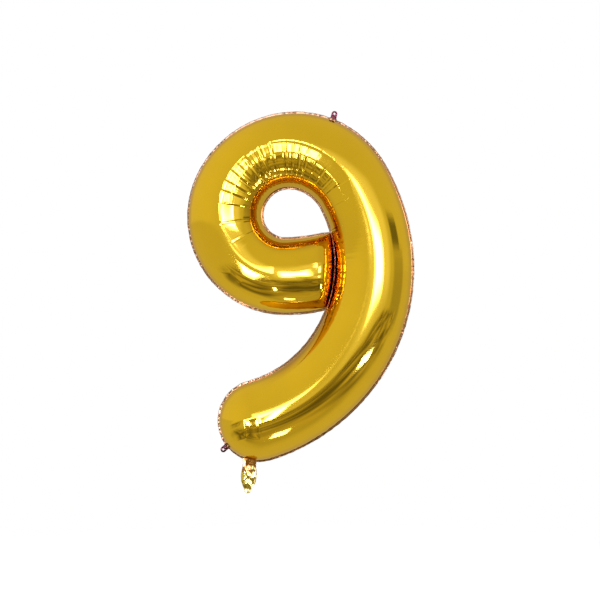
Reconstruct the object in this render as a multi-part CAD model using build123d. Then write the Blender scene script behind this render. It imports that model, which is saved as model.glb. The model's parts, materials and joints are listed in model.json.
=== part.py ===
from build123d import *
import math
import os

# Inflated foil number balloon in the shape of the digit nine.
#
# Two sheets of metallised film are welded together round their edge and round the hole of the loop, and gas
# between them swells each sheet into half of a curved tube. The tube starts at the loop's closed end, runs
# round the loop and down the stem, and ends in a rounded foot. A filling tail with a self-sealing valve hangs
# from the foot, and two small ears with punched holes take a ribbon.
#
# Units are millimetres. X runs to the reader's right, -Y faces the reader and +Z is up. The origin is the
# centre of the punched hole in the top ear. The two sheets meet in the plane Y = 0.

# ---- driving dimensions ----
FILM = 0.8  # drawn thickness of a panel; the real film is 0.03 mm
START_HEADING = 195.0  # direction in which the tube leaves the loop's closed end, anticlockwise from +X
SPINE_ARCS = [(390, 14.5), (145, 111), (162, 105), (183, 25.5), (387, 102.5)]  # radius, degrees clockwise
HALF_WIDTHS = [89, 89, 88.5, 86, 91, 89.5, 92, 93.5, 93, 94.5]  # of the tube, evenly spaced along the spine
DEPTH_RATIO = 0.93  # half depth over half width
BOWL_END_AT = 600.0  # place along the spine where the loop's half of the outline meets the stem's half

END_SKEW = 11.5  # degrees by which the loop's closed end leans from square
END_SKEW_REACH = 90.0  # the sections are square again this far along
END_ROUND = 34.0  # length over which the loop's end closes
END_LIP = 1.6  # half depth left at the very end, where the seam goes in
END_LIP_GRIP = 3.0  # how far the seam goes into that end
SECTION_STEP = 26.0  # spacing of the tube's sections
END_SECTIONS = 6  # sections in the loop's rounded end

SEAM_WIDTH = 5.0  # weld ribbon outside the tube's edges
SEAM_BITE = 0.3  # how far a weld ribbon reaches into a panel's rim
SEAM_HALF = FILM  # half thickness of a weld ribbon, which is both films fused
SEAM_OVERRUN = 25.0  # the loop's outline runs on this far to meet the stem's
OUTLINE_STEP = 15.0  # spacing of the points of an outline

FOLD_CLEARANCE = 1.0  # from a folding piece's root to the seam, beyond its half thickness

EAR_WIDTH, EAR_LENGTH, EAR_HALF = 14.0, 16.0, 0.6  # an ear's width, length and half thickness
EAR_HOLE_RADIUS, EAR_HOLE_TO_TIP = 2.5, 7.0
TOP_EAR_AT, TOP_EAR_HEADING = 640.0, 76.0  # place along the spine, and direction in degrees
FOOT_EAR_TURN, FOOT_EAR_HEADING = 219.0, 222.0  # place round the foot, and direction

TAIL_TURN, TAIL_HEADING = 258.0, 266.0  # place round the foot, and direction
TAIL_ROOT_WIDTH, TAIL_BELLY_WIDTH, TAIL_TIP_WIDTH = 32.0, 38.0, 16.0
TAIL_BELLY_AT, TAIL_LENGTH = 32.0, 73.0
TAIL_HALF = 1.0  # half thickness of the whole tail
TAIL_SKIN = 0.55  # thickness of the tail's front or back film between its welds
TAIL_WELD = 5.0  # width of the weld along the tail's edges
TAIL_WELD_FROM_TIP = 18.0  # the tail is welded solid this far up from its tip
TAIL_HOLE_RADIUS, TAIL_HOLE_TO_TIP = 2.5, 8.0

VALVE_WIDTH, VALVE_FILM = 17.0, 0.4  # the valve's two clear films: width, and thickness of each
VALVE_INSIDE, VALVE_OUTSIDE = 90.0, 44.0  # their length inside the foot and in the tail
VALVE_CLEARANCE = 0.05  # all round a valve film
VALVE_SETBACK = 1.5  # from the tail's fold to the inner valve films' mouth


# ---- the spine and the tube's edges, as (x, z) pairs with the loop's closed end at (0, 0) ----
SPINE_LENGTH = sum(radius * math.radians(turn) for radius, turn in SPINE_ARCS)


def spine(s):
    """Place and heading in degrees at length s. The first and last arcs run on past the ends."""
    x, z, heading = 0.0, 0.0, START_HEADING
    for number, (radius, turn) in enumerate(SPINE_ARCS, 1):
        arc = radius * math.radians(turn)
        run = s if number == len(SPINE_ARCS) else min(s, arc)
        before, after = math.radians(heading), math.radians(heading) - run / radius
        x += radius * (math.sin(before) - math.sin(after))
        z += radius * (math.cos(after) - math.cos(before))
        heading = math.degrees(after)
        s -= arc
        if s <= 0:
            break
    return x, z, heading


def half_width(s):
    """Half width of the tube: a smooth curve through HALF_WIDTHS."""
    last = len(HALF_WIDTHS) - 1
    t = min(max(s / SPINE_LENGTH, 0.0), 1.0) * last
    i = min(int(t), last - 1)
    f = t - i
    here, after = HALF_WIDTHS[i], HALF_WIDTHS[i + 1]
    slope_here = (after - HALF_WIDTHS[max(i - 1, 0)]) / 2
    slope_after = (HALF_WIDTHS[min(i + 2, last)] - here) / 2
    return (
        (2 * f**3 - 3 * f**2 + 1) * here
        + (f**3 - 2 * f**2 + f) * slope_here
        + (3 * f**2 - 2 * f**3) * after
        + (f**3 - f**2) * slope_after
    )


def section_heading(s):
    """Heading of the section's plane, which leans at the loop's closed end."""
    lean = END_SKEW * (1 - min(max(s / END_SKEW_REACH, 0.0), 1.0)) ** 2
    return spine(s)[2] - lean


def polar(x, z, degrees, distance):
    """The point at a distance from (x, z), in a direction anticlockwise from +X."""
    angle = math.radians(degrees)
    return x + distance * math.cos(angle), z + distance * math.sin(angle)


def edge(s, side, growth=0.0):
    """A point of the tube's outer edge (side 1) or inner edge (side -1), moved outwards by growth."""
    x, z, _ = spine(s)
    return polar(x, z, section_heading(s) + 90, side * (half_width(s) + growth))


def foot_point(turn, growth):
    """A point of the foot's rim in a given direction from the foot's centre."""
    x, z, _ = spine(SPINE_LENGTH)
    return polar(x, z, turn, half_width(SPINE_LENGTH) + growth)


def fold_reach(half_thickness, root_width, tilt):
    """Distance from the tube's edge to a fold whose piece leans by tilt degrees from square to the seam."""
    return SEAM_WIDTH + half_thickness + FOLD_CLEARANCE + root_width / 2 * math.sin(math.radians(abs(tilt)))


TOP_EAR_TILT = TOP_EAR_HEADING - section_heading(TOP_EAR_AT) - 90
TOP_EAR_ROOT = edge(TOP_EAR_AT, 1, fold_reach(EAR_HALF, EAR_WIDTH, TOP_EAR_TILT))
FOOT_EAR_ROOT = foot_point(FOOT_EAR_TURN, fold_reach(EAR_HALF, EAR_WIDTH, FOOT_EAR_HEADING - FOOT_EAR_TURN))
TAIL_ROOT = foot_point(TAIL_TURN, fold_reach(TAIL_HALF, TAIL_ROOT_WIDTH, TAIL_HEADING - TAIL_TURN))
ORIGIN = polar(*TOP_EAR_ROOT, TOP_EAR_HEADING, EAR_LENGTH - EAR_HOLE_TO_TIP)


# ---- the two panels ----
def half_ellipse(plane, half_across, half_depth):
    """The front half of an ellipse, from the inner edge through the front to the outer edge."""
    return plane * EllipticalCenterArc((0, 0), half_across, half_depth, start_angle=180, arc_size=180)


def crescent(s, depth):
    """The front panel's section at length s, with the given half depth outside the film."""
    x, z, _ = spine(s)
    plane = section_plane(x, z, section_heading(s))
    outside = half_ellipse(plane, half_width(s), depth)
    inside = half_ellipse(plane, half_width(s) - FILM, depth - FILM)
    rims = [Line(outside @ 0, inside @ 0), Line(outside @ 1, inside @ 1)]
    return Face(Wire([outside, inside] + rims))


def section_plane(x, z, heading):
    """A plane square to a heading, with its x towards the tube's outer edge and its y along +Y."""
    out_x, out_z = polar(0, 0, heading + 90, 1)
    out = Vector(out_x, 0, out_z)
    return Plane(origin=(x, 0, z), x_dir=out, z_dir=out.cross(Vector(0, 1, 0)))


def end_depth(s):
    """Half depth of the loop's rounded end, from END_LIP up to the tube's full half depth."""
    full = DEPTH_RATIO * half_width(s)
    rise = math.sin(math.pi / 2 * min(s / END_ROUND, 1.0)) ** 0.75
    return END_LIP + (full - END_LIP) * rise


def front_panel():
    ends = [END_ROUND * n / END_SECTIONS for n in range(END_SECTIONS + 1)]
    closed_end = loft([crescent(s, end_depth(s)) for s in ends], ruled=True)
    count = round((SPINE_LENGTH - END_ROUND) / SECTION_STEP)
    step = (SPINE_LENGTH - END_ROUND) / count
    places = [END_ROUND + step * n for n in range(count + 1)]
    tube = loft([crescent(s, DEPTH_RATIO * half_width(s)) for s in places])
    return closed_end + tube + foot_dome()


def foot_dome():
    """The foot's front half: a quarter of the last section, turned round the foot's centre."""
    x, z, heading = spine(SPINE_LENGTH)
    width = half_width(SPINE_LENGTH)
    depth = DEPTH_RATIO * width
    plane = section_plane(x, z, heading)
    outside = plane * EllipticalCenterArc((0, 0), width, depth, start_angle=270, arc_size=90)
    inside = plane * EllipticalCenterArc((0, 0), width - FILM, depth - FILM, start_angle=270, arc_size=90)
    rims = [Line(outside @ 0, inside @ 0), Line(outside @ 1, inside @ 1)]
    quarter = Face(Wire([outside, inside] + rims))
    return revolve(quarter, Axis((x, 0, z), (0, 1, 0)), 180)


# ---- the weld ribbons ----
def flat(points_xz):
    return [(x, 0, z) for x, z in points_xz]


def strip(start, end, growth):
    """A flat face between the tube's two edges, from one length of the spine to another."""
    count = max(2, round((end - start) / OUTLINE_STEP))
    places = [start + (end - start) * n / count for n in range(count + 1)]
    outer = Spline(flat(edge(s, 1, growth) for s in places))
    inner = Spline(flat(edge(s, -1, growth) for s in places))
    return Face(Wire([outer, inner, Line(outer @ 0, inner @ 0), Line(outer @ 1, inner @ 1)]))


def foot_disc(growth):
    x, z, _ = spine(SPINE_LENGTH)
    return Face(Wire(Edge.make_circle(half_width(SPINE_LENGTH) + growth, Plane((x, 0, z), z_dir=(0, 1, 0)))))


def footprint(loop_start, growth):
    """The whole tube's outline filled in, grown outwards, starting at a length of the spine."""
    loop = ribbon_solid(strip(loop_start, BOWL_END_AT, growth))
    stem = ribbon_solid(strip(BOWL_END_AT, SPINE_LENGTH, growth))
    return loop + stem + ribbon_solid(foot_disc(growth))


def ribbon_solid(face):
    """A flat face in the plane Y = 0 thickened to a weld ribbon."""
    return extrude(face, SEAM_HALF, dir=(0, 1, 0), both=True)


def box_along(root, heading, start, end, half_across, low_y, high_y):
    """A box in a frame whose length runs from root along heading."""
    plane = lengthwise(root, heading)
    size_y = high_y - low_y
    middle = ((start + end) / 2, 0, (low_y + high_y) / 2)
    return plane * Pos(*middle) * Box(end - start, 2 * half_across, size_y)


def lengthwise(root, heading):
    """A plane at root with x along heading and z along +Y."""
    along = Vector(*polar(0, 0, heading, 1))
    return Plane(origin=(root[0], 0, root[1]), x_dir=(along.X, 0, along.Y), z_dir=(0, 1, 0))


def weld_ribbons():
    """The outer seam, the hole's seam and the seam between the loop's closed end and the stem."""
    welds = footprint(-SEAM_OVERRUN, SEAM_WIDTH) - footprint(END_LIP_GRIP, -SEAM_BITE)
    reach = half_width(0) + SEAM_WIDTH
    crease_box = box_along(
        (0, 0), section_heading(0), -2 * SEAM_OVERRUN, 2 * END_LIP_GRIP, reach, -SEAM_HALF, SEAM_HALF
    )
    crease = welds & crease_box
    rest = (welds - crease_box).solids().sort_by(SortBy.VOLUME)
    return rest[-1] - valve_slot(), rest[-2], crease


# ---- the ears ----
def ear(root, heading):
    """A small tongue with a round tip and a punched hole."""
    plane = lengthwise(root, heading)
    radius = EAR_WIDTH / 2
    straight = EAR_LENGTH - radius
    outline = Pos(straight / 2, 0) * Rectangle(straight, EAR_WIDTH) + Pos(straight, 0) * Circle(radius)
    outline -= Pos(EAR_LENGTH - EAR_HOLE_TO_TIP, 0) * Circle(EAR_HOLE_RADIUS)
    return extrude(plane * outline, EAR_HALF, both=True)


# ---- the tail and its valve ----
def tail_outline(inset=0.0):
    """The tail's outline with its root at the origin and its tip along +X."""
    half_root, half_belly = TAIL_ROOT_WIDTH / 2 - inset, TAIL_BELLY_WIDTH / 2 - inset
    tip_radius = TAIL_TIP_WIDTH / 2
    tip_centre = TAIL_LENGTH - tip_radius
    side = Spline((0, half_root), (TAIL_BELLY_AT, half_belly), (tip_centre, tip_radius))
    tip = ThreePointArc((tip_centre, tip_radius), (TAIL_LENGTH, 0), (tip_centre, -tip_radius))
    return make_face([side, mirror(side, Plane.XZ), tip, Line((0, half_root), (0, -half_root))])


def tail_film(side):
    """The tail's front film (side -1) or back film (side 1), a shallow tray whose rim is the weld."""
    plane = lengthwise(TAIL_ROOT, TAIL_HEADING)
    plate = extrude(plane * tail_outline(), side * TAIL_HALF)
    pocket_end = TAIL_LENGTH - TAIL_WELD_FROM_TIP
    pocket = tail_outline(TAIL_WELD) & Pos(pocket_end / 2, 0) * Rectangle(pocket_end, TAIL_BELLY_WIDTH)
    plate -= extrude(plane * pocket, side * (TAIL_HALF - TAIL_SKIN))
    hole = plane * Pos(TAIL_LENGTH - TAIL_HOLE_TO_TIP, 0) * Cylinder(TAIL_HOLE_RADIUS, 4 * TAIL_HALF)
    return plate - hole


def valve_film(start, end, side):
    """One clear film of the valve: a long strip on one side of the plane Y = 0."""
    low_y, high_y = sorted((0.0, side * VALVE_FILM))
    return box_along(TAIL_ROOT, TAIL_HEADING, start, end, VALVE_WIDTH / 2, low_y, high_y)


def valve_slot():
    """The way through the foot's rim for the inner valve films."""
    half_gap = VALVE_FILM + VALVE_CLEARANCE
    half_across = VALVE_WIDTH / 2 + VALVE_CLEARANCE
    return box_along(TAIL_ROOT, TAIL_HEADING, -VALVE_INSIDE, 0, half_across, -half_gap, half_gap)


# ---- the assembly ----
def all_parts():
    front = front_panel() - valve_slot()
    outer_seam, hole_seam, loop_end_seam = weld_ribbons()
    parts = {
        "front_panel": front,
        "back_panel": mirror(front, about=Plane.XZ),
        "outer_seam": outer_seam,
        "hole_seam": hole_seam,
        "loop_end_seam": loop_end_seam,
        "top_hanging_ear": ear(TOP_EAR_ROOT, TOP_EAR_HEADING),
        "foot_hanging_ear": ear(FOOT_EAR_ROOT, FOOT_EAR_HEADING),
    }
    for name, side in (("front", -1), ("back", 1)):
        parts[f"tail_{name}_film"] = tail_film(side)
        inner = valve_film(-VALVE_SETBACK - VALVE_INSIDE, -VALVE_SETBACK, side)
        parts[f"valve_inner_{name}_film"] = inner
        parts[f"valve_outer_{name}_film"] = valve_film(0, VALVE_OUTSIDE, side)
    return parts


os.makedirs("parts", exist_ok=True)
for name, shape in all_parts().items():
    placed = Pos(-ORIGIN[0], 0, -ORIGIN[1]) * shape
    placed.label = name
    export_step(placed, f"parts/{name}.step")
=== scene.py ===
import json
import math

import bmesh
import bpy
import numpy as np
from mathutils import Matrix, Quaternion, Vector


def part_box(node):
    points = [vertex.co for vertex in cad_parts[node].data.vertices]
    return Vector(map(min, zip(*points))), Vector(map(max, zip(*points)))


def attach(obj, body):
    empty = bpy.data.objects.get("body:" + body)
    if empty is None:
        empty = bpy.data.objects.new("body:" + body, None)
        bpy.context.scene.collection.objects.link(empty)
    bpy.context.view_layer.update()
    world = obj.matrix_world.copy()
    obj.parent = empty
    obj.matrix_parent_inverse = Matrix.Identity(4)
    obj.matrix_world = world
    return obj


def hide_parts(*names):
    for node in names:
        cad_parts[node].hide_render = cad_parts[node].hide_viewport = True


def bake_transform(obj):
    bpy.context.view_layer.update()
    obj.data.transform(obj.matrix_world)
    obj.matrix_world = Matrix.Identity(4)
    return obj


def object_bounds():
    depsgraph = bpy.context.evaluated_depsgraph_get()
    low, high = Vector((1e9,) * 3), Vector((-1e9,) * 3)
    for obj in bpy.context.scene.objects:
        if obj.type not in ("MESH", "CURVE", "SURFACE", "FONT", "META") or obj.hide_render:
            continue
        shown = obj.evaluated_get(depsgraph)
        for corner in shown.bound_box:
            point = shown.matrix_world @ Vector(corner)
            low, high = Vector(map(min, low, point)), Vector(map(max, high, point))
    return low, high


# A gold foil number balloon in the shape of the digit nine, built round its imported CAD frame.
# Lengths are in metres. The frame's origin is the punched hole in the top ear.

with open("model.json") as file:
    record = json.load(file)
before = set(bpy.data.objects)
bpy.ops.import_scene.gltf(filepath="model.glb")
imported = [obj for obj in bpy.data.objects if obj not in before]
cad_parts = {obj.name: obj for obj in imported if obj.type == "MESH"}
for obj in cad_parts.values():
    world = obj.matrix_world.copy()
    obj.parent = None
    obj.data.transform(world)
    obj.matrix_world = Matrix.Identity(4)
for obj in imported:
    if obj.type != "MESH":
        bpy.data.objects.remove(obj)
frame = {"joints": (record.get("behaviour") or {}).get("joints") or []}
cad_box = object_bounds()
joints = {joint["name"]: joint for joint in frame["joints"]}

# ---- the tube's driving dimensions, the same as the CAD's ----
MM = 0.001
START_HEADING = math.radians(195.0)
SPINE_ARCS = [(390, 14.5), (145, 111), (162, 105), (183, 25.5), (387, 102.5)]  # mm, degrees clockwise
HALF_WIDTHS = [89, 89, 88.5, 86, 91, 89.5, 92, 93.5, 93, 94.5]  # mm, evenly spaced
USUAL_HALF_WIDTH = 90 * MM
DEPTH_RATIO = 0.93
END_SKEW, END_SKEW_REACH = math.radians(11.5), 90 * MM
SEAM_WIDTH = 5 * MM
SPINE_LENGTH = sum(radius * MM * math.radians(turn) for radius, turn in SPINE_ARCS)
GRID_STEP = 2.5 * MM

# ---- the loop's closed end ----
END_ROUND = 27 * MM  # the loop's end rolls off over this length
END_ROUNDNESS = 2.2  # power of the curve of that wall
END_FOLD = 0.86  # share of the depth reached at the fold beside the crease
END_RISE = (0.8, 4.6)  # the rest of the depth is reached between these multiples of END_ROUND
CREASE_GAP = 1.2 * MM  # flat weld left between the loop's end and the stem
CREASE_REACH = 110 * MM  # the loop's end is drawn towards the stem over this length
STEM_AFTER = 0.6  # the stretch of the stem beside the loop's end lies further along the spine than this
END_CRUMPLE, END_CRUMPLE_REACH = 1.0 * MM, 26 * MM  # height, and length over which it dies out
STEM_CRUMPLE, STEM_CRUMPLE_REACH = 1.2 * MM, 0.12  # height, and share of the half width

# ---- the creases round the loop's inner half ----
# place along the spine in mm, and how deep each is
CREASES = [
    (226, 0.25), (253, 0.6), (307, 0.8), (355, 0.75), (383, 0.8), (405, 0.9), (430, 0.95), (450, 0.7),
    (473, 1.3), (492, 0.6), (508, 1.1), (535, 0.8), (568, 0.9), (587, 0.7), (605, 0.8), (625, 0.9),
    (655, 0.55), (683, 0.7), (713, 0.55), (740, 0.6), (785, 0.4), (832, 0.2),
]
CREASE_AT = np.array([place for place, _ in CREASES]) * MM
CREASE_DEPTH = np.array([depth for _, depth in CREASES])
CREASE_WANDER = 0.9 * MM  # how far a crease strays from a straight line
NOTCH_DEPTH, NOTCH_HALF = 1.3 * MM, 2.6 * MM
RIDGE_HEIGHT, RIDGE_FROM_NOTCH, RIDGE_WIDTH = 0.45 * MM, 4.6 * MM, 1.6 * MM
SCALLOP, SCALLOP_SPAN = 0.16 * MM, 28 * MM  # how far the film swells between creases this far apart
STREAK_HEIGHT, STREAK_LENGTH = 0.024 * MM, 3.2 * MM
LEAN_SPREAD = 0.014  # how unevenly the blocks between creases lean
# how high the creases reach: place along the spine in mm, share of the half width
CREASE_TOP = [
    (200, -0.45), (253, -0.14), (307, 0.0), (383, 0.08), (473, 0.17), (520, 0.21), (568, 0.18),
    (625, 0.11), (683, 0.08), (740, 0.02), (800, -0.15), (860, -0.45),
]
# how the film between two creases is turned: place along the spine in mm, slope across it, slope along it
FACETS = [
    (300, 0, 0.02), (352, 0.01, 0.03), (362, 0.14, 0.085), (410, 0.12, 0.075), (455, 0.11, 0.05),
    (472, 0.10, 0.03), (480, -0.05, -0.05), (535, -0.04, -0.04), (543, 0.10, 0), (590, 0.12, -0.01),
    (636, 0.13, -0.055), (650, 0.02, 0),
]
FACET_AT, FACET_LIFT, FACET_LEAN = np.array(FACETS).T
# two nearly flat bands, one below the other: where each starts and ends below the creases' tops, and its sag
FLATS = [(0.0, 0.33, 1.25 * MM), (0.33, 0.85, 0.4 * MM)]

# ---- puckers and packing marks ----
PUCKER_HEIGHT = 0.9 * MM
OUTER_PUCKER, OUTER_PUCKER_REACH = 4.2 * MM, 0.09  # spacing, and share of the half width
INNER_PUCKER, INNER_PUCKER_REACH = 3.6 * MM, 0.20
# corners (x, z) in mm from the spine's start, anticlockwise, and the dish's depth in mm
PRESS_MARKS = [
    ([(-209, -62), (-196, -31), (-221, -7), (-256, -6), (-260, -27)], 1.1),
    ([(-240, -372), (-214, -410), (-184, -394), (-190, -352)], 1.6),
    ([(-190, -352), (-184, -394), (-150, -400), (-154, -346)], 1.1),
]
MARK_SLOPE_FROM, MARK_SLOPE_TO = -3 * MM, 12 * MM  # the dish sinks between these distances inside its outline
MARK_RIM_HEIGHT, MARK_RIM_HALF = 0.5 * MM, 3.6 * MM


# ---- the spine ----
def spine(s):
    """Places (x, z) and headings of an array of lengths s along the spine, from its start at (0, 0)."""
    s = np.asarray(s, float)
    x, z = np.zeros_like(s), np.zeros_like(s)
    heading = np.full_like(s, START_HEADING)
    left = s.copy()
    for number, (radius, turn) in enumerate(SPINE_ARCS, 1):
        radius = radius * MM
        arc = radius * math.radians(turn)
        run = left if number == len(SPINE_ARCS) else np.minimum(left, arc)
        run = np.where((number > 1) & (run < 0), 0.0, run)
        after = heading - run / radius
        x += radius * (np.sin(heading) - np.sin(after))
        z += radius * (np.cos(after) - np.cos(heading))
        heading = after
        left = left - run
    return x, z, heading


def half_width(s):
    """Half width of the tube: the CAD's smooth curve through HALF_WIDTHS."""
    widths = np.array(HALF_WIDTHS) * MM
    last = len(widths) - 1
    t = np.clip(np.asarray(s, float) / SPINE_LENGTH, 0, 1) * last
    i = np.minimum(t.astype(int), last - 1)
    f = t - i
    here, after = widths[i], widths[i + 1]
    slope_here = (after - widths[np.maximum(i - 1, 0)]) / 2
    slope_after = (widths[np.minimum(i + 2, last)] - here) / 2
    return (
        (2 * f**3 - 3 * f**2 + 1) * here
        + (f**3 - 2 * f**2 + f) * slope_here
        + (3 * f**2 - 2 * f**3) * after
        + (f**3 - f**2) * slope_after
    )


def section_heading(s):
    lean = END_SKEW * (1 - np.clip(np.asarray(s) / END_SKEW_REACH, 0, 1)) ** 2
    return spine(s)[2] - lean


def outward(s):
    """Unit vectors (x, z) from the spine towards the tube's outer edge."""
    turn = section_heading(s) + math.pi / 2
    return np.cos(turn), np.sin(turn)


def edge_xz(s, side, growth=0.0):
    """Points (x, z) of the outer (side 1) or inner (side -1) edge, before the shift to the frame's origin."""
    x, z, _ = spine(s)
    out_x, out_z = outward(s)
    reach = side * (half_width(s) + growth)
    return x + reach * out_x, z + reach * out_z


def start_in_frame():
    """The spine's start in the frame: the CAD's front panel is as far right and as high as these edges."""
    low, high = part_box("front_panel")
    s = np.linspace(0, SPINE_LENGTH, 4000)
    x, z = edge_xz(s, 1)
    return high[0] - x.max(), high[2] - z.max()


START_X, START_Z = start_in_frame()
FOOT_X, FOOT_Z, FOOT_HEADING = (float(v) for v in spine(np.array(SPINE_LENGTH)))
FOOT_RADIUS = float(half_width(SPINE_LENGTH))


# ---- small numeric helpers ----
def smooth(low, high, value):
    """0 below low, 1 above high, and a smooth step between."""
    t = np.clip((value - low) / (high - low), 0, 1)
    return t * t * (3 - 2 * t)


def ripple(values, seed):
    """A smooth one-dimensional noise, about -1 to 1, of an array of values with a wavelength of about 2."""
    flat = np.asarray(values, float).ravel()
    lowest = math.floor(flat.min()) - 2
    knots = np.random.default_rng(seed).uniform(-1, 1, int(math.ceil(flat.max()) - lowest) + 4)
    i = np.floor(flat).astype(int) - lowest
    f = flat - np.floor(flat)
    f = f * f * (3 - 2 * f)
    return (knots[i] * (1 - f) + knots[i + 1] * f).reshape(np.shape(values))


# ---- the film's wrinkles ----
def folds_between(s, across, block):
    """Notches at the creases, the ridges beside them, and the swollen, leaning and streaked film between."""
    left, right = CREASE_AT[block], CREASE_AT[block + 1]
    width = right - left
    strayed = s + CREASE_WANDER * ripple(across * 3.1 + block * 7.3, 5)
    t = np.clip((strayed - left) / width, 0, 1)
    depth = np.where(t < 0.5, CREASE_DEPTH[block], CREASE_DEPTH[block + 1])
    from_crease = np.minimum(t, 1 - t) * width
    notch = -NOTCH_DEPTH * depth * np.clip(1 - from_crease / NOTCH_HALF, 0, 1) ** 1.5
    ridge = RIDGE_HEIGHT * depth * np.exp(-(((from_crease - RIDGE_FROM_NOTCH) / RIDGE_WIDTH) ** 2))
    swell = SCALLOP * 4 * t * (1 - t) * np.clip(width / SCALLOP_SPAN, 0.4, 1.6)
    lean = np.interp((left + right) / 2, FACET_AT * MM, FACET_LEAN)
    lean = lean + LEAN_SPREAD * ripple(block * 2.0 + 0.5, 11)
    streaks = STREAK_HEIGHT * ripple(strayed / STREAK_LENGTH, 17)
    return notch + swell - lean * width * (t - 0.5) + streaks + ridge


def flat_bands(s, below_top, block):
    """The two nearly flat bands, and the turn of each block of the upper one."""
    relief = np.zeros_like(below_top)
    for start, end, sag in FLATS:
        middle, half = (start + end) / 2, (end - start) / 2
        relief -= sag * np.clip(1 - ((below_top - middle) / half) ** 2, 0, 1)
    start, end, _ = FLATS[0]
    middle, half = (start + end) / 2, (end - start) / 2
    place = np.clip((below_top - middle) / half, -1, 1)
    lift = np.interp((CREASE_AT[block] + CREASE_AT[block + 1]) / 2, FACET_AT * MM, FACET_LIFT)
    return relief + lift * half * half_width(s) * place * (1 - place**4)


def crease_relief(s, across):
    """Height of the film above the smooth tube. across is 1 at the outer edge, -1 at the inner edge."""
    first, last = CREASE_AT[0], CREASE_AT[-1]
    block = np.clip(np.searchsorted(CREASE_AT, s) - 1, 0, len(CREASE_AT) - 2)
    tops = np.interp(s, [MM * place for place, _ in CREASE_TOP], [top for _, top in CREASE_TOP])
    below_top = tops - across
    fade_in = smooth(-0.09, 0.03, below_top) * smooth(-1.0, -0.93, across)
    strength = fade_in * (0.35 + 0.65 * smooth(0.0, 0.5, below_top))
    ends = smooth(first, first + 60 * MM, s) * (1 - smooth(last - 100 * MM, last, s))
    relief = strength * folds_between(s, across, block) + ends * flat_bands(s, below_top, block)
    return np.where((s > first) & (s < last), relief, 0)


def rim_relief(s, across):
    """Fine puckers that run in from the seams and die out. The inner ones are strong only near the crease."""
    curl = 0.35 + 0.65 * smooth(-0.4, 0.5, ripple(s / (55 * MM), 23))
    outer = ripple(s / OUTER_PUCKER, 29) * np.exp(-(1 - across) / OUTER_PUCKER_REACH) * curl
    low, high = CREASE_ON_STEM
    beside_stem = smooth(low - 50 * MM, low, s) * (1 - smooth(high, high + 80 * MM, s))
    near_crease = 0.012 + np.exp(-s / (40 * MM)) + beside_stem
    inner = ripple(s / INNER_PUCKER, 31) * np.exp(-(1 + across) / INNER_PUCKER_REACH) * near_crease
    return PUCKER_HEIGHT * (outer + inner) * smooth(0, 0.02, 1 - np.abs(across))


def press_marks(x, z):
    """Shallow facets left where the film was folded in its packet: dished polygons with a raised outline."""
    relief = np.zeros_like(x)
    for corners, dish in PRESS_MARKS:
        points = np.array(corners) * MM
        inside = np.full(x.shape, np.inf)
        nearest = np.full(x.shape, np.inf)
        for (ax, az), (bx, bz) in zip(points, np.roll(points, -1, axis=0)):
            length = math.hypot(bx - ax, bz - az)
            ux, uz = (bx - ax) / length, (bz - az) / length
            along = np.clip((x - ax) * ux + (z - az) * uz, 0, length)
            nearest = np.minimum(nearest, np.hypot(x - ax - along * ux, z - az - along * uz))
            inside = np.minimum(inside, (x - ax) * -uz + (z - az) * ux)
        relief -= dish * MM * smooth(MARK_SLOPE_FROM, MARK_SLOPE_TO, inside)
        relief += MARK_RIM_HEIGHT * np.clip(1 - nearest / MARK_RIM_HALF, 0, 1)
    return relief


def end_profile(s):
    """Share of the full depth near the loop's closed end: a steep wall up to a fold, then a slow rise."""
    wall = END_FOLD * np.sqrt(np.clip(1 - (1 - np.clip(s / END_ROUND, 0, 1)) ** END_ROUNDNESS, 0, 1))
    rise_from, rise_to = (END_ROUND * share for share in END_RISE)
    return wall + (1 - END_FOLD) * smooth(rise_from, rise_to, s)


def end_relief(s, across):
    """Crumpling beside the crease between the loop's end and the stem."""
    near = np.exp(-s / END_CRUMPLE_REACH) * smooth(0, 4 * MM, s)
    folds = ripple(across * 9 + s / (22 * MM), 37) + 0.6 * ripple(across * 21 - s / (30 * MM), 41)
    return END_CRUMPLE * near * folds


def stem_crease_relief(s, across):
    """Crumpling of the stem where its inner edge is welded to the loop's end."""
    low, high = CREASE_ON_STEM
    along = smooth(low - 20 * MM, low + 20 * MM, s) * (1 - smooth(high - 20 * MM, high + 20 * MM, s))
    near = np.exp(-(1 + across) / STEM_CRUMPLE_REACH) * smooth(0, 0.015, 1 + across)
    folds = ripple(s / (9 * MM), 43) + 0.7 * ripple(s / (4.1 * MM) + across * 3, 47)
    return STEM_CRUMPLE * along * near * folds


def stem_gap():
    """Places across the loop's flat end, the stem's distance there, and the welded stretch of the stem."""
    s = np.linspace(STEM_AFTER, SPINE_LENGTH, 900)
    x, z = edge_xz(s, -1)
    turn = float(section_heading(0.0))
    along = -(x * math.cos(turn) + z * math.sin(turn))
    across = -x * math.sin(turn) + z * math.cos(turn)
    reach = float(half_width(0.0)) + SEAM_WIDTH
    near = (np.abs(across) < reach) & (along > -20 * MM)
    order = np.argsort(across[near])
    return across[near][order], along[near][order], (s[near].min(), s[near].max())


GAP_ACROSS, GAP_ALONG, CREASE_ON_STEM = stem_gap()


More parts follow.
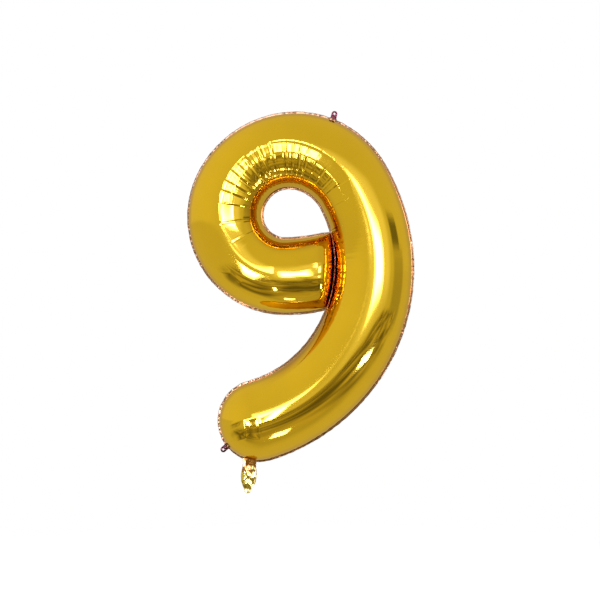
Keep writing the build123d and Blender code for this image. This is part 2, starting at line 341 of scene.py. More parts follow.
# ---- the two foil panels ----
def tube_points(s, phi, side):
    """Places of the film. phi is 0 at the outer seam and pi at the inner seam; side is -1 in front."""
    x, z, _ = spine(s)
    out_x, out_z = outward(s)
    width = half_width(s)
    across = np.cos(phi)
    depth = DEPTH_RATIO * width * end_profile(s)
    relief = crease_relief(s, across) + rim_relief(s, across)
    relief = relief + end_relief(s, across) + stem_crease_relief(s, across)
    depth_ratio = np.maximum(depth, 1 * MM) / width
    normal_out, normal_y = across * depth_ratio, np.sin(phi)
    length = np.hypot(normal_out, normal_y)
    reach = width * across + relief * normal_out / length
    y = side * (depth * np.sin(phi) + relief * normal_y / length * np.sin(phi) ** 0.3)
    pull = (1 - np.clip(s / CREASE_REACH, 0, 1)) ** 2
    gap = np.interp(width * across, GAP_ACROSS, GAP_ALONG) - CREASE_GAP
    turn = section_heading(s)
    marks = press_marks(x + reach * out_x, z + reach * out_z) if side < 0 else 0
    y = y + side * marks * np.sin(phi)
    px = x + reach * out_x - pull * gap * np.cos(turn)
    pz = z + reach * out_z - pull * gap * np.sin(turn)
    return np.stack([px + START_X, y, pz + START_Z], -1)


def foot_points(turn, phi, side):
    """The rounded foot, turned from the tube's outer edge (turn 0) to its inner edge (turn pi)."""
    heading = FOOT_HEADING + math.pi / 2 - turn
    across = np.cos(phi)
    depth = DEPTH_RATIO * FOOT_RADIUS
    relief = rim_relief(SPINE_LENGTH + turn * FOOT_RADIUS, across)
    reach = FOOT_RADIUS * across + relief * across
    y = side * (depth * np.sin(phi) + relief * np.sin(phi))
    px = FOOT_X + reach * np.cos(heading)
    pz = FOOT_Z + reach * np.sin(heading)
    if side < 0:
        y = y + side * press_marks(px, pz) * np.sin(phi)
    return np.stack([px + START_X, y, pz + START_Z], -1)


def grid_faces(rows, columns, first=0, flip=False):
    """Quads of a grid of rows x columns vertices."""
    faces = []
    for r in range(rows - 1):
        for c in range(columns - 1):
            a = first + r * columns + c
            quad = (a, a + 1, a + columns + 1, a + columns)
            faces.append(quad[::-1] if flip else quad)
    return faces


def mesh_object(name, points, faces, merge=None, painted_shades=None):
    """A smooth mesh with a colour at each vertex, which carries painted shade multiplied into its film's
    colour.
    """
    mesh = bpy.data.meshes.new(name)
    mesh.from_pydata([tuple(p) for p in points], [], faces)
    colors = np.ones((len(points), 4), np.float32)
    if painted_shades is not None:
        colors[:, :3] = np.reshape(painted_shades, (-1, 3))
    painted_shade = mesh.attributes.new("painted_shade", "FLOAT_COLOR", "POINT")
    painted_shade.data.foreach_set("color", colors.ravel())
    mesh.validate()
    if merge:
        work = bmesh.new()
        work.from_mesh(mesh)
        bmesh.ops.remove_doubles(work, verts=work.verts, dist=merge)
        work.to_mesh(mesh)
        work.free()
    mesh.polygons.foreach_set("use_smooth", [True] * len(mesh.polygons))
    obj = bpy.data.objects.new(name, mesh)
    bpy.context.scene.collection.objects.link(obj)
    return obj


CREASE_SHADE_COLOR = np.array([0.56, 0.42, 0.60])  # painted shade: the film is painted darker and redder where shade and gold-on-gold reflections fall, beside the crease, round the hole and along the stem's inner edge


def crease_shade_share(distance, reach, bottom):
    """How strongly shade is painted beside a weld: less at the very bottom of the groove than a little way
    up.
    """
    return np.exp(-distance / reach) - 0.55 * np.exp(-distance / bottom)


def painted_tube_shade(s, across):
    """Painted shade and painted reflection colour on the film: darker and redder beside the crease, in a band
    round the hole, and along the stem's inner edge.
    """
    low, high = CREASE_ON_STEM
    on_stem = smooth(low - 30 * MM, low + 30 * MM, s) * (1 - smooth(high - 30 * MM, high + 50 * MM, s))
    round_hole = 0.75 * (1 - smooth(830 * MM, 900 * MM, s)) * np.exp(-(((across + 0.80) / 0.13) ** 2))
    above_foot = 1 - smooth(SPINE_LENGTH - 160 * MM, SPINE_LENGTH - 20 * MM, s)
    down_stem = 0.8 * smooth(high - 50 * MM, high + 20 * MM, s) * above_foot
    down_stem = down_stem * (1 - smooth(-0.95, -0.72, across))
    beside_end = crease_shade_share(s, 13 * MM, 5 * MM)
    beside_stem = on_stem * crease_shade_share(1 + across, 0.07, 0.03)
    share = np.clip(np.maximum.reduce([beside_end, beside_stem, round_hole, down_stem]), 0, 1)[..., None]
    return 1 + (CREASE_SHADE_COLOR - 1) * share


def panel(name, side):
    """One foil sheet: a grid along the tube and a grid round the foot, merged where they meet."""
    lengths = np.linspace(0, 1, int(SPINE_LENGTH / GRID_STEP)) * SPINE_LENGTH
    phis = np.linspace(0, math.pi, int(math.pi * USUAL_HALF_WIDTH / GRID_STEP))
    s, phi = np.meshgrid(lengths, phis, indexing="ij")
    tube = tube_points(s, phi, side).reshape(-1, 3)
    # painted shade for the tube, stored in each vertex's colour
    tube_shade = painted_tube_shade(s, np.cos(phi)).reshape(-1, 3)
    faces = grid_faces(len(lengths), len(phis), flip=side > 0)
    turns = np.linspace(0, math.pi, int(math.pi * FOOT_RADIUS / GRID_STEP))
    half = phis[: (len(phis) + 1) // 2] if len(phis) % 2 else np.linspace(0, math.pi / 2, len(phis) // 2)
    turn, phi = np.meshgrid(turns, half, indexing="ij")
    foot = foot_points(turn, phi, side).reshape(-1, 3)
    faces += grid_faces(len(turns), len(half), first=len(tube), flip=side > 0)
    painted_shades = np.concatenate([tube_shade, np.ones_like(foot)])
    return mesh_object(name, np.concatenate([tube, foot]), faces, merge=0.05 * MM, painted_shades=painted_shades)


# ---- materials ----
GOLD = (0.96, 0.58, 0.006)
EDGE_GOLD = (1.0, 0.80, 0.42)  # what gold foil turns to at grazing angles


def new_material(name):
    material = bpy.data.materials.new(name)
    material.use_nodes = True
    tree = material.node_tree
    return material, tree, tree.nodes["Principled BSDF"]


def noise_node(tree, scale, detail=2.0):
    """A noise texture in the object's own space."""
    place, texture = tree.nodes.new("ShaderNodeTexCoord"), tree.nodes.new("ShaderNodeTexNoise")
    texture.inputs["Scale"].default_value = scale
    texture.inputs["Detail"].default_value = detail
    tree.links.new(place.outputs["Object"], texture.inputs["Vector"])
    return texture.outputs["Fac"]


def uneven_gloss(tree, shader, texture, least, most):
    """Lets the roughness vary with a texture."""
    gloss = tree.nodes.new("ShaderNodeMapRange")
    gloss.inputs["To Min"].default_value, gloss.inputs["To Max"].default_value = least, most
    tree.links.new(texture, gloss.inputs["Value"])
    tree.links.new(gloss.outputs["Result"], shader.inputs["Roughness"])


def clouded_tint(tree, shader, color):
    """The film's colour, a little darker in clouds, times the painted shade stored at each vertex."""
    nodes, links = tree.nodes, tree.links
    cloud = nodes.new("ShaderNodeValToRGB")
    darker, full = cloud.color_ramp.elements
    darker.position, full.position = 0.3, 0.7
    darker.color = (*[c * 0.94 for c in color], 1)
    full.color = (*color, 1)
    links.new(noise_node(tree, 9.0, 3.0), cloud.inputs["Fac"])
    painted, mix = nodes.new("ShaderNodeAttribute"), nodes.new("ShaderNodeMix")
    painted.attribute_name = "painted_shade"
    mix.data_type, mix.blend_type = "RGBA", "MULTIPLY"
    mix.inputs["Factor"].default_value = 1.0
    links.new(cloud.outputs["Color"], mix.inputs["A"])
    links.new(painted.outputs["Color"], mix.inputs["B"])
    links.new(mix.outputs["Result"], shader.inputs["Base Color"])


def foil_material(name, color, roughness, bump, coat):
    """Metallised film: a tinted mirror with faint rolling marks and a slightly uneven gloss."""
    material, tree, shader = new_material(name)
    shader.inputs["Metallic"].default_value = 1.0
    shader.inputs["Specular Tint"].default_value = (*EDGE_GOLD, 1)
    shader.inputs["Coat Weight"].default_value = coat
    shader.inputs["Coat Roughness"].default_value = 0.08
    marks = noise_node(tree, 60.0, 4.0)
    uneven_gloss(tree, shader, marks, roughness * 0.8, roughness * 1.25)
    clouded_tint(tree, shader, color)
    relief = tree.nodes.new("ShaderNodeBump")
    relief.inputs["Strength"].default_value = bump
    relief.inputs["Distance"].default_value = 2 * MM
    tree.links.new(marks, relief.inputs["Height"])
    tree.links.new(relief.outputs["Normal"], shader.inputs["Normal"])
    return material


def clear_film_material():
    """Thin clear film with a faint haze."""
    material, tree, shader = new_material("valve_film")
    shader.inputs["Base Color"].default_value = (0.86, 0.88, 0.86, 1)
    shader.inputs["Transmission Weight"].default_value = 0.6
    shader.inputs["IOR"].default_value = 1.49
    uneven_gloss(tree, shader, noise_node(tree, 240.0), 0.15, 0.38)
    return material


gold_foil = foil_material("gold_foil", GOLD, 0.075, bump=0.012, coat=0.4)
# painted shade: the weld is the same gold film, painted red-brown and rough for the shade and reflections
# deep in the crease
weld_painted_shade_foil = foil_material("weld_painted_shade_foil", (0.66, 0.24, 0.09), 0.45, bump=0.08, coat=0.4)
# painted shade: the seam ribbons are the same gold film, painted dark red-brown so that they stay dark under
# the lamps
seam_foil = foil_material("seam_foil", (0.28, 0.135, 0.024), 0.13, bump=0.05, coat=0.1)
# painted shade and painted reflection: the ears are the same gold film, painted near-black red for the dark
# red reflections they show at their angle
ear_foil = foil_material("ear_foil", (0.085, 0.016, 0.006), 0.20, bump=0.05, coat=0.1)
tail_foil = foil_material("tail_foil", (0.80, 0.56, 0.06), 0.12, bump=0.05, coat=0.2)
clear_film = clear_film_material()

# ---- the two panels in place ----
front = panel("front_foil", -1)
back = panel("back_foil", 1)
for obj, node in ((front, "front_panel"), (back, "back_panel")):
    obj.data.materials.append(gold_foil)
    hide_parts(node)
    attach(obj, "envelope")


# ---- the weld ribbons ----
RIBBON_THICKNESS = 0.3 * MM
CRIMP_LENGTH = 4.2 * MM
RIBBON_COLUMNS = np.array([-0.10, 0.0, 0.35, 0.7, 1.0])  # shares of the width, the first inside the rim
WELD_ROWS = 90


def thicken(obj, thickness):
    """Gives a single film its thickness and applies it."""
    modifier = obj.modifiers.new("thickness", "SOLIDIFY")
    modifier.thickness, modifier.offset = thickness, 0
    bpy.context.view_layer.update()
    solid = bpy.data.meshes.new_from_object(obj.evaluated_get(bpy.context.evaluated_depsgraph_get()))
    obj.modifiers.clear()
    obj.data = solid
    return obj


def ribbon(name, path, outward_turn, width, crimp, seed):
    """A crimped strip along a path of (x, z) points, standing out to one side of it."""
    step = np.gradient(path, axis=0)
    step /= np.linalg.norm(step, axis=1, keepdims=True)
    out = np.stack([-step[:, 1], step[:, 0]], -1) * outward_turn
    run = np.concatenate([[0], np.cumsum(np.linalg.norm(np.diff(path, axis=0), axis=1))])
    wave = ripple(run / CRIMP_LENGTH, seed) + 0.4 * ripple(run / (CRIMP_LENGTH / 2), seed + 1)
    strong = 0.3 + 0.7 * smooth(-0.5, 0.6, ripple(run / (60 * MM), seed + 2))
    uneven = 1 + 0.10 * ripple(run / (6 * MM), seed + 3)
    points = []
    for share in RIBBON_COLUMNS:
        xz = path + out * (share * width * uneven)[:, None]
        y = crimp * wave * strong * max(share, 0) ** 1.2
        points.append(np.stack([xz[:, 0], y, xz[:, 1]], -1))
    grid = np.stack(points, 1).reshape(-1, 3)
    obj = mesh_object(name, grid, grid_faces(len(path), len(RIBBON_COLUMNS)))
    thicken(obj, RIBBON_THICKNESS)
    obj.data.materials.append(seam_foil)
    return obj


def along_edge(start, end, phi):
    """Points (x, z) of the panels' rim between two lengths of the spine."""
    s = np.linspace(start, end, max(2, int(abs(end - start) / GRID_STEP * 2)))
    return tube_points(s, np.full_like(s, phi), -1)[:, [0, 2]]


def around_foot():
    turns = np.linspace(0, math.pi, int(math.pi * FOOT_RADIUS / GRID_STEP * 2))
    return foot_points(turns, np.zeros_like(turns), -1)[:, [0, 2]]


def crease_weld():
    """The flat weld between the loop's end and the stem, a little crumpled."""
    phi = np.linspace(0, math.pi, WELD_ROWS)
    rim = tube_points(np.zeros_like(phi), phi, -1)
    turn = float(section_heading(0.0))
    toward = np.array([-math.cos(turn), 0, -math.sin(turn)])
    columns = np.linspace(-0.3, 1.15, 5)
    rows = np.stack([rim + toward * CREASE_GAP * share for share in columns], 1)
    sway = 0.8 * MM * ripple(np.arange(WELD_ROWS) / 2.2, 61)
    rows[:, 1:4, 1] += sway[:, None]
    obj = mesh_object("crease_weld", rows.reshape(-1, 3), grid_faces(WELD_ROWS, len(columns)))
    thicken(obj, RIBBON_THICKNESS)
    obj.data.materials.append(weld_painted_shade_foil)
    return obj


low_end, high_end = CREASE_ON_STEM
outer_path = np.concatenate(
    [along_edge(0, SPINE_LENGTH, 0.0)[:-1], around_foot()[:-1], along_edge(SPINE_LENGTH, high_end, math.pi)]
)
outer_ribbon = ribbon("outer_ribbon", outer_path, 1, 4.6 * MM, 0.35 * MM, 71)
hole_ribbon = ribbon("hole_ribbon", along_edge(0, low_end, math.pi), -1, 4.2 * MM, 0.25 * MM, 83)
weld = crease_weld()
for obj, node in ((outer_ribbon, "outer_seam"), (hole_ribbon, "hole_seam"), (weld, "loop_end_seam")):
    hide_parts(node)
    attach(obj, "envelope")


# ---- the ears and the tail ----
FOLD_BEFORE = 1.5 * MM  # how far behind its hinge the fold's start is put; the film is not bent there


def direction_of(node, joint):
    """Unit vector (x, z) along a folding piece: square to its hinge, pointing away from the balloon."""
    hinge = joints[joint]
    axis = hinge["axis"]
    along = np.array([axis[2], -axis[0]])
    low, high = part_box(node)
    outward = [(low[i] + high[i]) / 2 - hinge["pos_m"][i] for i in (0, 2)]
    return along * np.sign(along @ np.array(outward)) / np.linalg.norm(along)


def punched(u, v, hole, step):
    """Pulls the grid's vertices near a round hole onto its edge, and says which vertices fall inside it."""
    hole_v, radius = hole
    from_hole = np.hypot(u, v - hole_v)
    near_edge = (from_hole > max(radius - 0.8 * step, 1e-6)) & (from_hole < radius + 0.5 * step)
    pull = np.where(near_edge, radius / np.maximum(from_hole, 1e-6), 1)
    u, v = u * pull, hole_v + (v - hole_v) * pull
    return u, v, np.hypot(u, v - hole_v) < radius - 0.05 * step


def delete_loose(obj):
    """Deletes the vertices that no face uses."""
    clean = bmesh.new()
    clean.from_mesh(obj.data)
    bmesh.ops.delete(clean, geom=[vert for vert in clean.verts if not vert.link_faces], context="VERTS")
    clean.to_mesh(obj.data)
    clean.free()


def film_patch(name, guide, joint, outline, relief, step, hole=None, painted_shade=None):
    """A small film laid out from its hinge towards the guide node: v runs along it and u across it."""
    along = direction_of(guide, joint)
    side = np.array([-along[1], along[0]])
    root = np.array(joints[joint]["pos_m"])[[0, 2]]
    lengths, half_widths = outline
    v = np.linspace(lengths[0], lengths[-1], int((lengths[-1] - lengths[0]) / step))
    share = np.linspace(-1, 1, int(2 * max(half_widths) / step) | 1)
    v, share = np.meshgrid(v, share, indexing="ij")
    u = share * np.interp(v, lengths, half_widths)
    gone = np.zeros(v.shape, bool)
    if hole:
        u, v, gone = punched(u, v, hole, step)
    gone = gone.ravel()
    xz = root + v[..., None] * along + u[..., None] * side
    points = np.stack([xz[..., 0], relief(u, v, share), xz[..., 1]], -1).reshape(-1, 3)
    faces = [face for face in grid_faces(*v.shape) if not any(gone[i] for i in face)]
    obj = mesh_object(name, points, faces, painted_shades=painted_shade(u, v) if painted_shade else None)
    delete_loose(obj)
    return obj, root, along


def rounded_outline(lengths, half_widths, length, tip_radius, least):
    """Places along a film and its half widths there, with a round tip added."""
    turns = np.linspace(0, math.pi / 2, 9)
    tip_lengths = length - tip_radius + tip_radius * np.sin(turns)
    tip_widths = np.maximum(tip_radius * np.cos(turns), least)
    return np.concatenate([lengths, tip_lengths]), np.concatenate([half_widths, tip_widths])


def bend_at_root(obj, root, along, after):
    """Bakes the film's transform into its mesh. The places just before and just after the fold are worked
    out, but the film is not bent.
    """
    (start_x, start_z), (end_x, end_z) = root - along * FOLD_BEFORE, root + along * after
    start, end = (start_x, 0, start_z), (end_x, 0, end_z)
    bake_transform(obj)
    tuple(start)
    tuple(end)


EAR_LENGTH, EAR_HALF, EAR_HOLE_TO_TIP = 16 * MM, 7 * MM, 7 * MM
EAR_FOLD_AFTER, EAR_HOLE_RADIUS = 2 * MM, 2.5 * MM


def ear(name, node, joint, seed):
    """A film tongue with a round tip, slightly curled, which widens where it leaves the seam."""
    flared = np.array([1.45, 1.15, 1]) * EAR_HALF
    outline = rounded_outline([-4.2 * MM, -2.5 * MM, 0], flared, EAR_LENGTH, EAR_HALF, 0.2 * MM)

    def relief(u, v, share):
        curl = 0.9 * MM * np.sin(v / (9 * MM)) + 0.5 * MM * (u / EAR_HALF) ** 2
        return (curl + 0.25 * MM * ripple((u + v) / (2.6 * MM), seed)) * smooth(-3 * MM, 4 * MM, v)

    hole = (EAR_LENGTH - EAR_HOLE_TO_TIP, EAR_HOLE_RADIUS)
    obj, root, along = film_patch(name, node, joint, outline, relief, 0.6 * MM, hole)
    thicken(obj, 0.3 * MM)
    obj.data.materials.append(ear_foil)
    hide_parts(node)
    bend_at_root(obj, root, along, EAR_FOLD_AFTER)
    return obj


TAIL_LENGTH, TAIL_BACK = 73 * MM, 10 * MM  # from the fold to the tip, and behind the fold
TAIL_PLACES = np.array([-10, 0, 10, 20, 32, 45, 56]) * MM
TAIL_HALF_WIDTHS = np.array([17.5, 16, 16.3, 18, 19, 17.5, 13]) * MM
TAIL_TIP_RADIUS = 7.5 * MM
TAIL_HOLE = (TAIL_LENGTH - 8 * MM, 2.3 * MM)  # its place along the tail, and its radius
TAIL_FOLD_AFTER = 4 * MM
TAIL_CRUMPLE, TAIL_SPINE_CREASE = 1.3 * MM, 1.2 * MM
NECK_SHADE_COLOR = np.array([0.62, 0.36, 0.30])  # painted shade: the neck of the tail is painted darker and redder


def tail_sway(v):
    """The tail hangs in a slow wave."""
    return 1.4 * MM * np.sin(v / (19 * MM)) * smooth(0, 20 * MM, v)


def painted_neck_shade(u, v):
    """The neck's painted shade, which ends at a slanting line."""
    neck = 1 - smooth(19 * MM, 22 * MM, v + 0.22 * u)
    return 1 + (NECK_SHADE_COLOR - 1) * neck[..., None]


def tail_film(name, node, side, seed):
    """One crumpled film of the filling tail, welded to the other along its edges."""

    def relief(u, v, share):
        """How far the film stands from the plane of the seams."""
        open_part = smooth(-TAIL_BACK, 4 * MM, v) * (1 - smooth(50 * MM, 64 * MM, v))
        body = (1 - share**2) ** 0.8
        puff = (0.9 + 2.6 * open_part * smooth(4 * MM, 22 * MM, v)) * MM * body
        lines = ripple((u * 0.9 + v) / (15 * MM), seed)
        lines = lines + 0.8 * ripple((u * 1.5 - v * 0.8) / (12 * MM), seed + 1)
        sharp = np.abs(lines) - 0.45
        crumple = TAIL_CRUMPLE * sharp * open_part * body**0.5 * smooth(8 * MM, 20 * MM, v)
        middle = np.exp(-((u / (2.5 * MM)) ** 2)) * smooth(34 * MM, 44 * MM, v) * open_part
        crumple = crumple - TAIL_SPINE_CREASE * middle
        gather = 0.25 * MM * ripple(u / (3.4 * MM), seed + 2) * (1 - smooth(8 * MM, 24 * MM, v)) * open_part
        return side * (0.25 * MM + np.maximum(puff + crumple + gather * body, 0.7 * MM * body)) + tail_sway(v)

    outline = rounded_outline(TAIL_PLACES, TAIL_HALF_WIDTHS, TAIL_LENGTH, TAIL_TIP_RADIUS, 0.25 * MM)
    obj, root, along = film_patch(name, node, "tail_fold", outline, relief, 1.0 * MM, TAIL_HOLE, painted_neck_shade)
    thicken(obj, 0.25 * MM)
    obj.data.materials.append(tail_foil)
    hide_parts(node)
    bend_at_root(obj, root, along, TAIL_FOLD_AFTER)
    return obj


top_ear = ear("top_ear_film", "top_hanging_ear", "top_ear_fold", 91)
foot_ear = ear("foot_ear_film", "foot_hanging_ear", "foot_ear_fold", 93)
tail_front = tail_film("tail_front_foil", "tail_front_film", -1, 95)
tail_back = tail_film("tail_back_foil", "tail_back_film", 1, 99)

VALVE_WIDTH, VALVE_INSIDE, VALVE_OUTSIDE = 17 * MM, 90 * MM, 44 * MM


def valve_film(name, node, side, start, end):
    """One film of the flat one-way valve that lies in the tail and runs up into the foot."""

    def relief(u, v, share):
        flutter = 0.05 * MM * ripple(v / (9 * MM), 103)
        return side * (0.13 * MM + np.abs(flutter)) + tail_sway(v)

    outline = ([start, end], [VALVE_WIDTH / 2, VALVE_WIDTH / 2])
    obj, root, along = film_patch(name, "tail_front_film", "tail_fold", outline, relief, 2.0 * MM)
    obj.data.materials.append(clear_film)
    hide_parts(node)
    return obj, root, along


for label, side in (("front", -1), ("back", 1)):
    inner, _, _ = valve_film(
        f"valve_inner_{label}", f"valve_inner_{label}_film", side, -VALVE_INSIDE, -TAIL_BACK
    )
    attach(inner, "envelope")
    outer, root, along = valve_film(
        f"valve_outer_{label}", f"valve_outer_{label}_film", side, -TAIL_BACK, VALVE_OUTSIDE
    )
    bend_at_root(outer, root, along, TAIL_FOLD_AFTER)


# ---- the studio ----
LAMP_COLOR = (0.80, 0.92, 3.2)  # very blue, because the gold takes nearly all the blue out of it
WALL_COLOR = (0.8, 0.8, 0.8)
UPPER_LEVEL, LEFT_LIFT = 0.78, 0.12  # brightness above the horizon, and how much more there is to the left
LOWER_LEVEL, BEHIND_LEVEL = 0.74, 0.62
# azimuth from the front towards the right, elevation, half width, half height, soft edge (degrees), strength
SOFT_BOXES = [
    (17, 4.0, 7, 2.2, 7, 15.0),
    (-8, 14, 2.2, 6, 4.5, 9.0),
    (22, 8, 18, 8, 14, 0.35),
]
# the same, with the share of the light that is taken away in place of the strength
DARK_PATCHES = [(72, 14, 9, 2, 6, 0.75), (78, -6, 12, 9, 10, 0.35)]
CAMERA_TURN, CAMERA_DISTANCE, FRAME_WIDTH, CAMERA_LIFT = math.radians(5), 3.5, 1.44, 6 * MM
FLOOR_RADIUS, FLOOR_DROP = 1.9, 0.34
FLOOR_FADE = (0.3, 0.97)  # the floor fades out between these shares of its radius
CARD_ACROSS, CARD_DEEP = (-1.7, 3.4), (-3.6, -0.05)  # its ends along x and y
CARD_DROP = 0.28  # below the balloon
CARD_LEVELS = (0.12, 0.52)  # darkest and lightest streak
CARD_STREAKS = (1.5, 3.6, 1.0)  # streaks per metre along x and y
CARD_FADE = 0.14  # share of the card over which each edge fades out
# place, what it faces, width, height, power, roll and spread in degrees
SMALL_LAMPS = [
    ((-0.57, -1.22, -0.76), (-0.23, 0, -0.62), 0.15, 0.60, 0.30, -30, 40),
    ((0.70, -0.72, -1.02), (0.1, 0, -0.6), 0.26, 0.10, 2.2, 0, 180),
    ((-0.06, -0.25, -0.99), (-0.12, 0, -0.8), 0.072, 0.06, 0.126, 0, 180),
    ((-0.175, -0.43, -0.72), (-0.1, 0, -0.77), 0.035, 0.10, 0.22, 0, 180),
]


class NodeMaths:
    """Shorthand for the arithmetic nodes of one node tree."""

    def __init__(self, tree):
        self.nodes, self.links = tree.nodes, tree.links

    def combine(self, kind, a, b=None):
        """One operation on sockets or numbers."""
        node = self.nodes.new("ShaderNodeMath")
        node.operation = kind
        for socket, value in zip(node.inputs, (a, b)):
            if isinstance(value, (int, float)):
                socket.default_value = value
            elif value is not None:
                self.links.new(value, socket)
        return node.outputs[0]

    def dot(self, direction, vector):
        node = self.nodes.new("ShaderNodeVectorMath")
        node.operation = "DOT_PRODUCT"
        self.links.new(direction, node.inputs[0])
        node.inputs[1].default_value = vector
        return node.outputs["Value"]

    def step(self, value, low, high):
        """0 at low and 1 at high, with a smooth step between."""
        node = self.nodes.new("ShaderNodeMapRange")
        node.interpolation_type = "SMOOTHSTEP"
        node.inputs["From Min"].default_value, node.inputs["From Max"].default_value = low, high
        self.links.new(value, node.inputs["Value"])
        return node.outputs["Result"]

    def blend(self, a, b, share):
        """a where share is 0 and b where it is 1."""
        rest = self.combine("SUBTRACT", 1.0, share)
        return self.combine("ADD", self.combine("MULTIPLY", a, rest), self.combine("MULTIPLY", b, share))


def patch(maths, direction, azimuth, elevation, half_across, half_up, edge):
    """1 inside a rectangle of directions and 0 outside it. Its place and sizes are in degrees."""
    a, e = math.radians(azimuth), math.radians(elevation)
    forward = Vector((math.sin(a) * math.cos(e), -math.cos(a) * math.cos(e), math.sin(e)))
    right = Vector((math.cos(a), math.sin(a), 0))
    ahead = maths.combine("MAXIMUM", maths.dot(direction, forward), 0.001)
    share = maths.step(ahead, 0.01, 0.1)
    for axis, half in ((right, half_across), (right.cross(forward), half_up)):
        slope = maths.combine("ABSOLUTE", maths.combine("DIVIDE", maths.dot(direction, axis), ahead))
        inner, outer = math.tan(math.radians(half)), math.tan(math.radians(half + edge))
        within = maths.combine("SUBTRACT", 1.0, maths.step(slope, inner, outer))
        share = maths.combine("MULTIPLY", share, within)
    return share


def wall_level(maths, direction):
    """Brightness of the studio's walls: paler above the horizon and to the left, with two darker patches."""
    left = maths.step(maths.dot(direction, (-1, 0, 0)), -0.1, 0.9)
    upper = maths.combine("ADD", UPPER_LEVEL, maths.combine("MULTIPLY", left, LEFT_LIFT))
    above_horizon = maths.step(maths.dot(direction, (0, 0, 1)), -0.03, 0.03)
    level = maths.blend(LOWER_LEVEL, upper, above_horizon)
    for *place, share in DARK_PATCHES:
        taken = maths.combine("MULTIPLY", patch(maths, direction, *place), share)
        level = maths.combine("MULTIPLY", level, maths.combine("SUBTRACT", 1.0, taken))
    behind = maths.step(maths.dot(direction, (0, 1, 0)), 0.45, 0.85)
    return maths.blend(level, BEHIND_LEVEL, behind)


def world_light():
    """A studio seen only in the foil's reflections. The camera itself sees a white backdrop."""
    world = bpy.data.worlds.new("studio")
    bpy.context.scene.world = world
    world.use_nodes = True
    nodes, links = world.node_tree.nodes, world.node_tree.links
    nodes.clear()
    maths = NodeMaths(world.node_tree)
    direction = nodes.new("ShaderNodeTexCoord").outputs["Generated"]
    lamps = 0.0
    for *place, strength in SOFT_BOXES:
        lamp = maths.combine("MULTIPLY", patch(maths, direction, *place), strength)
        lamps = maths.combine("ADD", lamps, lamp)
    walls, boxes, backdrop = (nodes.new("ShaderNodeBackground") for _ in range(3))
    for background, color in ((walls, WALL_COLOR), (boxes, LAMP_COLOR), (backdrop, (1, 1, 1))):
        background.inputs["Color"].default_value = (*color, 1)
    links.new(wall_level(maths, direction), walls.inputs["Strength"])
    links.new(lamps, boxes.inputs["Strength"])
    studio, mix = nodes.new("ShaderNodeAddShader"), nodes.new("ShaderNodeMixShader")
    links.new(walls.outputs[0], studio.inputs[0])
    links.new(boxes.outputs[0], studio.inputs[1])
    links.new(nodes.new("ShaderNodeLightPath").outputs["Is Camera Ray"], mix.inputs["Fac"])
    links.new(studio.outputs[0], mix.inputs[1])
    links.new(backdrop.outputs[0], mix.inputs[2])
    links.new(mix.outputs[0], nodes.new("ShaderNodeOutputWorld").inputs["Surface"])


def make_camera():
    """Level with the balloon's middle, a little to its right, framed a little wider than the balloon."""
    low, high = cad_box
    aim = Vector(((low[0] + high[0]) / 2, 0, (low[2] + high[2]) / 2 + CAMERA_LIFT))
    camera = bpy.data.objects.new("camera", bpy.data.cameras.new("camera"))
    bpy.context.scene.collection.objects.link(camera)
    camera.location = aim + CAMERA_DISTANCE * Vector((math.sin(CAMERA_TURN), -math.cos(CAMERA_TURN), 0))
    camera.rotation_euler = (aim - camera.location).to_track_quat("-Z", "Y").to_euler()
    camera.data.sensor_width = 36
    camera.data.lens = camera.data.sensor_width * CAMERA_DISTANCE / FRAME_WIDTH
    bpy.context.scene.camera = camera


def ring_of_points(x, y, z, radius, count=96):
    turns = np.linspace(0, 2 * math.pi, count + 1)[:-1]
    return [(x + radius * math.cos(turn), y + radius * math.sin(turn), z) for turn in turns]


def make_floor():
    """A pale floor below the hanging balloon, which fades out so that it shows no horizon."""
    low, high = cad_box
    middle = ((low[0] + high[0]) / 2, 0, low[2] - FLOOR_DROP)
    points = ring_of_points(*middle, FLOOR_RADIUS)
    floor = mesh_object("floor", points, [tuple(range(len(points)))])
    material, tree, shader = new_material("pale_floor")
    shader.inputs["Base Color"].default_value = (0.95, 0.95, 0.95, 1)
    shader.inputs["Roughness"].default_value = 0.9
    place, distance = tree.nodes.new("ShaderNodeTexCoord"), tree.nodes.new("ShaderNodeVectorMath")
    distance.operation = "DISTANCE"
    distance.inputs[1].default_value = middle
    tree.links.new(place.outputs["Object"], distance.inputs[0])
    maths = NodeMaths(tree)
    faded = maths.step(distance.outputs["Value"], *(share * FLOOR_RADIUS for share in FLOOR_FADE))
    tree.links.new(maths.combine("SUBTRACT", 1.0, faded), shader.inputs["Alpha"])
    floor.data.materials.append(material)
    floor.visible_glossy = False


def card_glow(tree, place):
    """A dim warm glow in long streaks."""
    stretch, clouds = tree.nodes.new("ShaderNodeMapping"), tree.nodes.new("ShaderNodeTexNoise")
    stretch.inputs["Scale"].default_value = CARD_STREAKS
    clouds.inputs["Scale"].default_value = 1.0
    clouds.inputs["Detail"].default_value = 1.0
    level, glow = tree.nodes.new("ShaderNodeMapRange"), tree.nodes.new("ShaderNodeEmission")
    level.inputs["From Min"].default_value, level.inputs["From Max"].default_value = 0.35, 0.65
    level.inputs["To Min"].default_value, level.inputs["To Max"].default_value = CARD_LEVELS
    glow.inputs["Color"].default_value = (1, 0.93, 0.85, 1)
    tree.links.new(place.outputs["Object"], stretch.inputs["Vector"])
    tree.links.new(stretch.outputs["Vector"], clouds.inputs["Vector"])
    tree.links.new(clouds.outputs["Fac"], level.inputs["Value"])
    tree.links.new(level.outputs["Result"], glow.inputs["Strength"])
    return glow.outputs[0]


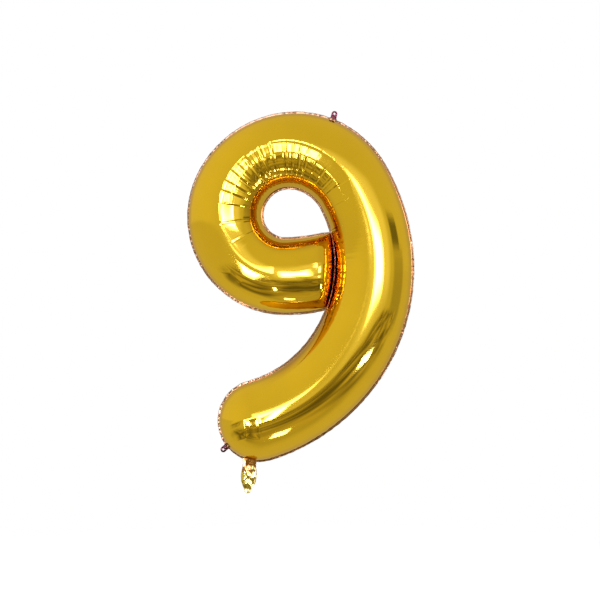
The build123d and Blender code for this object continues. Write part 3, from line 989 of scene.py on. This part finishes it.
def make_dark_card():
    """A card low in front with dark streaks and faded edges, seen only in the foil's reflections."""
    low, _ = cad_box
    z = low[2] - CARD_DROP
    (left, right), (near, far) = CARD_ACROSS, CARD_DEEP
    corners = [(left, near, z), (right, near, z), (right, far, z), (left, far, z)]
    card = mesh_object("dark_card", corners, [(0, 1, 2, 3)])
    material = bpy.data.materials.new("dark_card")
    material.use_nodes = True
    tree = material.node_tree
    tree.nodes.clear()
    maths = NodeMaths(tree)
    place, split = tree.nodes.new("ShaderNodeTexCoord"), tree.nodes.new("ShaderNodeSeparateXYZ")
    tree.links.new(place.outputs["Generated"], split.inputs["Vector"])
    share = 1.0
    for axis in ("X", "Y"):
        for edge, inside in ((0.0, CARD_FADE), (1.0, 1.0 - CARD_FADE)):
            share = maths.combine("MULTIPLY", share, maths.step(split.outputs[axis], edge, inside))
    clear, mix = tree.nodes.new("ShaderNodeBsdfTransparent"), tree.nodes.new("ShaderNodeMixShader")
    tree.links.new(share, mix.inputs["Fac"])
    tree.links.new(clear.outputs[0], mix.inputs[1])
    tree.links.new(card_glow(tree, place), mix.inputs[2])
    tree.links.new(mix.outputs[0], tree.nodes.new("ShaderNodeOutputMaterial").inputs["Surface"])
    card.data.materials.append(material)
    card.visible_camera = card.visible_diffuse = card.visible_shadow = card.visible_transmission = False


def make_lamps():
    """A soft lamp overhead for the floor, and small ones low in front for the lower highlights."""
    overhead = bpy.data.objects.new("overhead", bpy.data.lights.new("overhead", "AREA"))
    overhead.data.size = 3.0
    overhead.data.energy = 130.0
    overhead.location = (-0.1, -0.4, 2.2)
    overhead.visible_glossy = False
    bpy.context.scene.collection.objects.link(overhead)
    for index, (place, aim, width, height, power, roll, spread) in enumerate(SMALL_LAMPS):
        name = f"low_lamp_{index}"
        lamp = bpy.data.objects.new(name, bpy.data.lights.new(name, "AREA"))
        lamp.data.shape = "RECTANGLE"
        lamp.data.size, lamp.data.size_y = width, height
        lamp.data.energy, lamp.data.color = power, LAMP_COLOR
        lamp.data.spread = math.radians(spread)
        lamp.location = place
        toward = (Vector(aim) - lamp.location).to_track_quat("-Z", "Y")
        lamp.rotation_euler = (toward @ Quaternion((0, 0, 1), math.radians(roll))).to_euler()
        lamp.visible_camera = False
        bpy.context.scene.collection.objects.link(lamp)


world_light()
make_camera()
make_dark_card()
make_lamps()
make_floor()
bpy.context.scene.view_settings.view_transform = "Standard"
